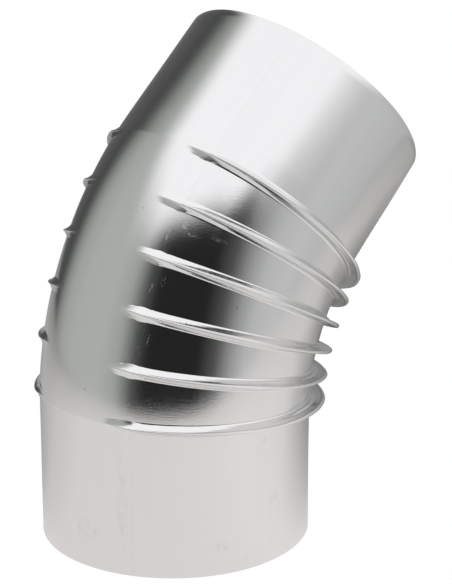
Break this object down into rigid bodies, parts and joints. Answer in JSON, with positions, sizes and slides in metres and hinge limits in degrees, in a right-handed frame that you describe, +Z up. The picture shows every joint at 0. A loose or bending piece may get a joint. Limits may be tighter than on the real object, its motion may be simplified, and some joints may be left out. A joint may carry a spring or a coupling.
{
  "type": "flue elbow",
  "caption": "Single-wall aluminium 45 degree flue elbow for DN 110 pipe: socket collar, pleated throat, smooth outer back, spigot collar.",
  "frame": {"origin": "centre of the lower rim, on the plane of the socket's mouth", "axes": "+Z up the lower collar's axis into the elbow; +X the way the elbow bends, so the outlet points along +X+Z; +Y across the bend"},
  "size_m": [0.166, 0.12, 0.2119],
  "materials": {
    "sheet": "satin mill finish",
    "weld": "dressed flush, matt"
  },
  "bodies": {
    "root": {"lower_collar": "sheet", "pleat_1": "sheet", "pleat_2": "sheet", "pleat_3": "sheet", "pleat_4": "sheet", "pleat_5": "sheet", "pleat_6": "sheet", "gore_1": "sheet", "gore_2": "sheet", "gore_3": "sheet", "gore_4": "sheet", "gore_5": "sheet", "upper_collar": "sheet", "longitudinal_weld": "weld"}
  },
  "joints": []
}
